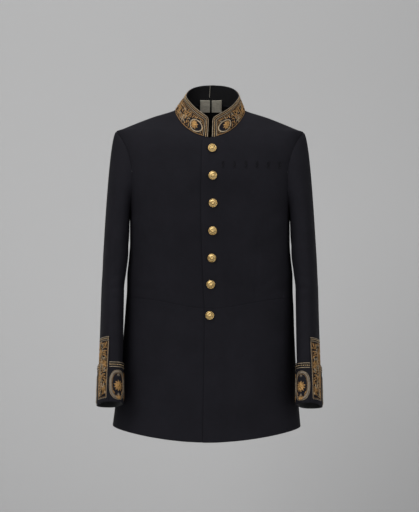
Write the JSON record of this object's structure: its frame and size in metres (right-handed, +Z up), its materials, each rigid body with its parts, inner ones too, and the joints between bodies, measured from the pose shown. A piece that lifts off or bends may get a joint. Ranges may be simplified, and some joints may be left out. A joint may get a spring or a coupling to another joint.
{
  "type": "uniform coat",
  "caption": "Fitted dark uniform coat with a stand collar, gilt domed buttons down the front, and gold embroidery on the collar and cuffs.",
  "frame": {"origin": "midway between the shoulders, at the height of the middle of the shoulder seams, where the coat hangs from a wearer or a stand", "axes": "+Z up, -Y towards the front of the coat, +X towards the wearer's left"},
  "size_m": [0.5304, 0.2861, 0.844],
  "materials": {
    "black_cloth": "matt wool broadcloth",
    "gold_embroidery": "metal-thread embroidery on black cloth",
    "cream_tape": "matt woven tape",
    "gilt": "polished gilt"
  },
  "bodies": {
    "root": {"forepart_left": "black_cloth", "forepart_right": "black_cloth", "side_body_left": "black_cloth", "side_body_right": "black_cloth", "back_left": "black_cloth", "back_right": "black_cloth", "skirt_left": "black_cloth", "skirt_right": "black_cloth", "collar_left": "black_cloth", "collar_right": "black_cloth", "top_sleeve_left": "black_cloth", "top_sleeve_right": "black_cloth", "top_elbow_left": "black_cloth", "top_elbow_right": "black_cloth", "top_forearm_left": "black_cloth", "top_forearm_right": "black_cloth", "under_sleeve_left": "black_cloth", "under_sleeve_right": "black_cloth", "under_elbow_left": "black_cloth", "under_elbow_right": "black_cloth", "under_forearm_left": "black_cloth", "under_forearm_right": "black_cloth", "cuff_left": "gold_embroidery", "cuff_right": "gold_embroidery", "cuff_strip_left": "gold_embroidery", "cuff_strip_right": "gold_embroidery", "label_left": "cream_tape", "label_right": "cream_tape", "button_1": "gilt", "button_2": "gilt", "button_3": "gilt", "button_4": "gilt", "button_5": "gilt", "button_6": "gilt", "button_7": "gilt"}
  },
  "joints": []
}
